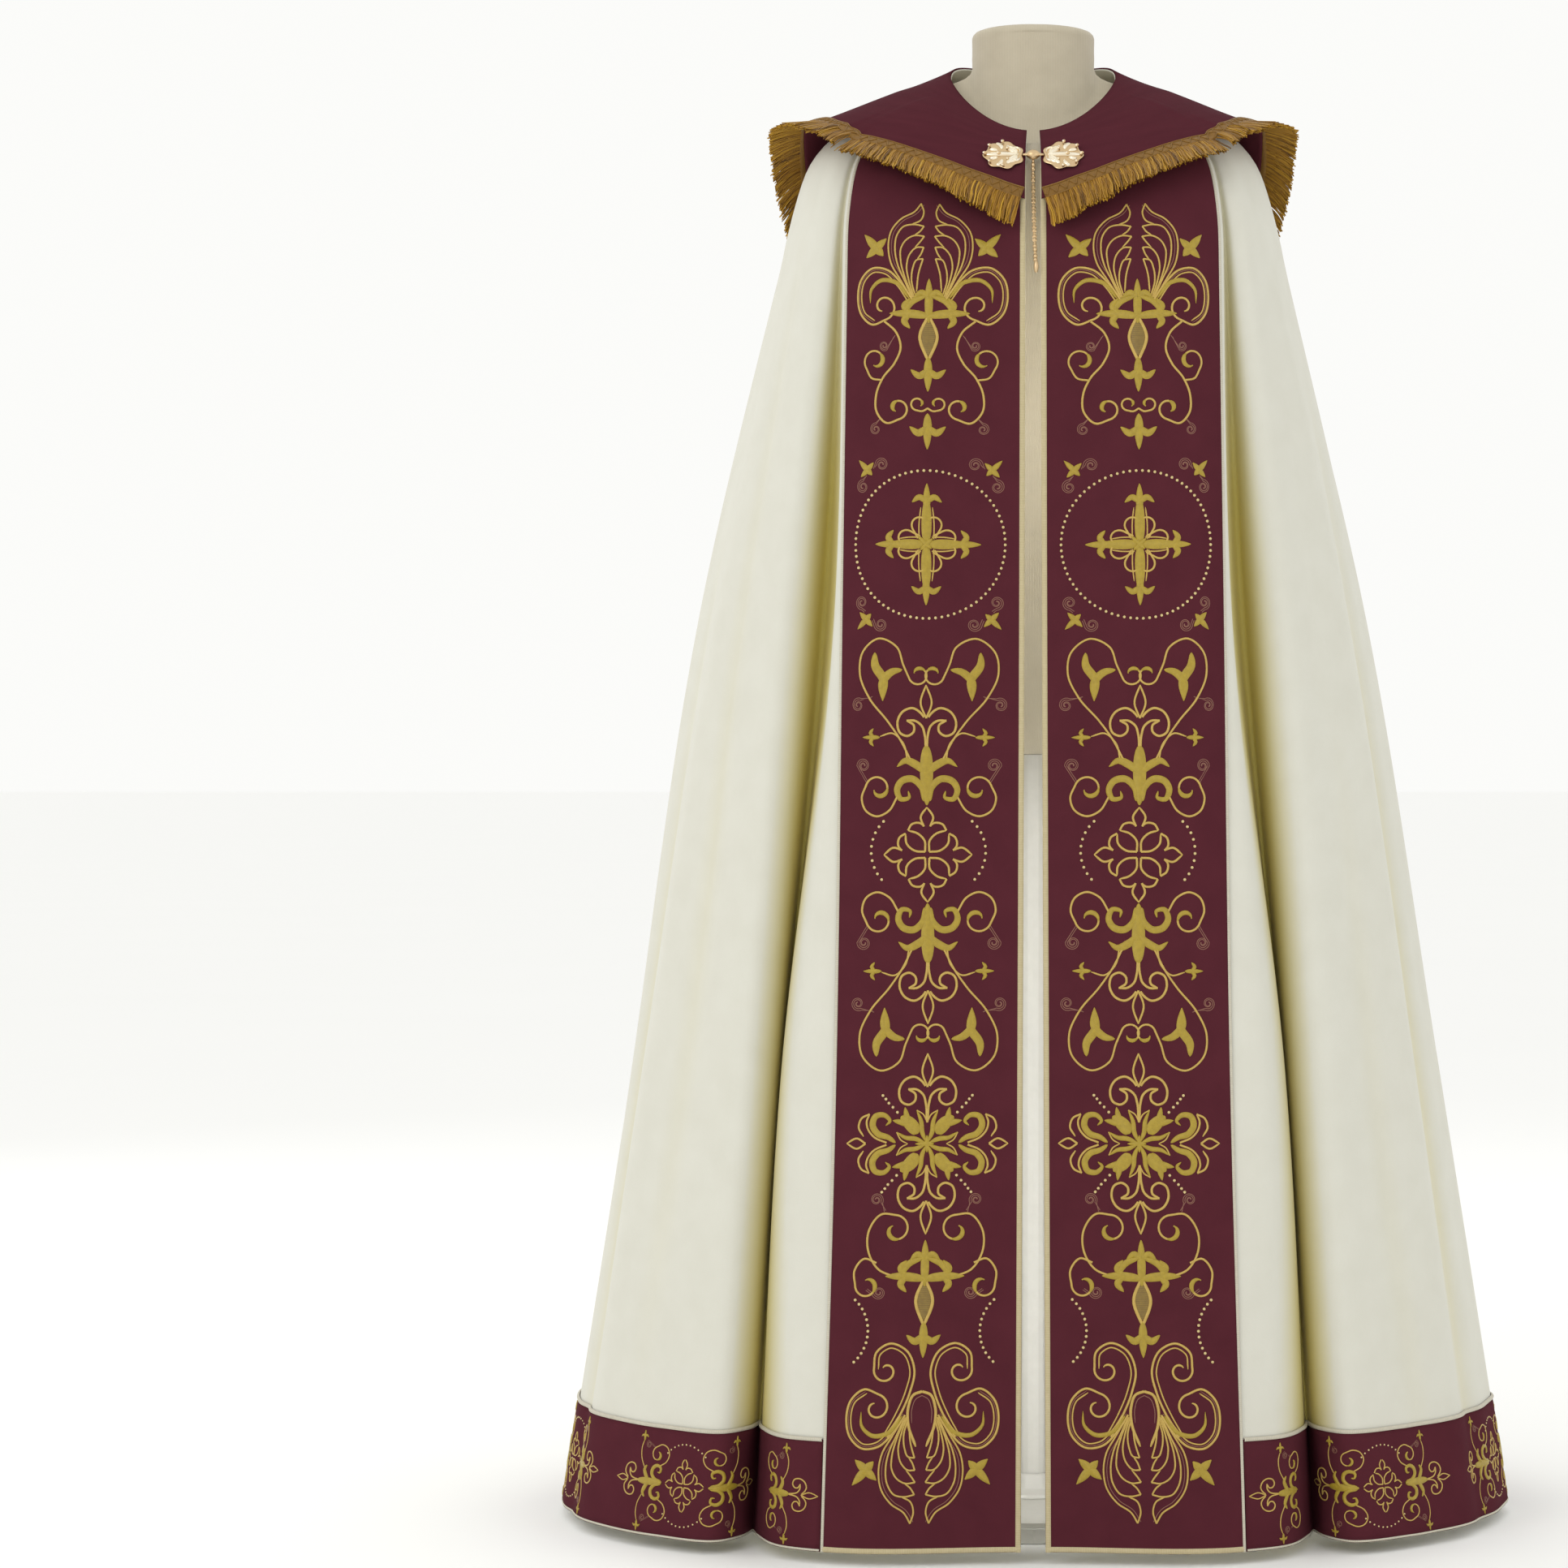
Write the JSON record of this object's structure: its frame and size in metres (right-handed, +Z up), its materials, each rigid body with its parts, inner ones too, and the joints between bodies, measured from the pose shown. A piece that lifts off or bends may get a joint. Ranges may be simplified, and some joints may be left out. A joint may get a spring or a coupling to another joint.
{
  "type": "cope vestment on a dress form",
  "caption": "Floor-length liturgical cope, open in front, with embroidered orphreys, fringed shoulder hood, hem band and clasp, resting on a limbless dress form.",
  "frame": {"origin": "centre of the flat underside of the form's round base, on the floor", "axes": "+Z up, the open front faces -Y, +X to the right as seen from the front"},
  "size_m": [1.0016, 0.733, 1.562],
  "materials": {
    "cream_cloth": "matte woven wool blend",
    "maroon_cloth": "matte woven cloth",
    "gold_fringe": "soft sheen thread",
    "pale_gold": "polished pale gold plate",
    "form_cloth": "smooth jersey cover",
    "painted_steel": "satin"
  },
  "bodies": {
    "root": {"cloak_left": "cream_cloth", "cloak_right": "cream_cloth", "cloak_back": "cream_cloth", "orphrey_left": "maroon_cloth", "orphrey_right": "maroon_cloth", "hem_left": "maroon_cloth", "hem_right": "maroon_cloth", "hem_back": "maroon_cloth", "hood": "maroon_cloth", "hood_fringe": "gold_fringe", "clasp_left": "pale_gold", "clasp_right": "pale_gold", "clasp_hook": "pale_gold", "clasp_chain": "pale_gold", "form_torso": "form_cloth", "form_pole": "painted_steel", "form_base": "painted_steel"}
  },
  "joints": []
}
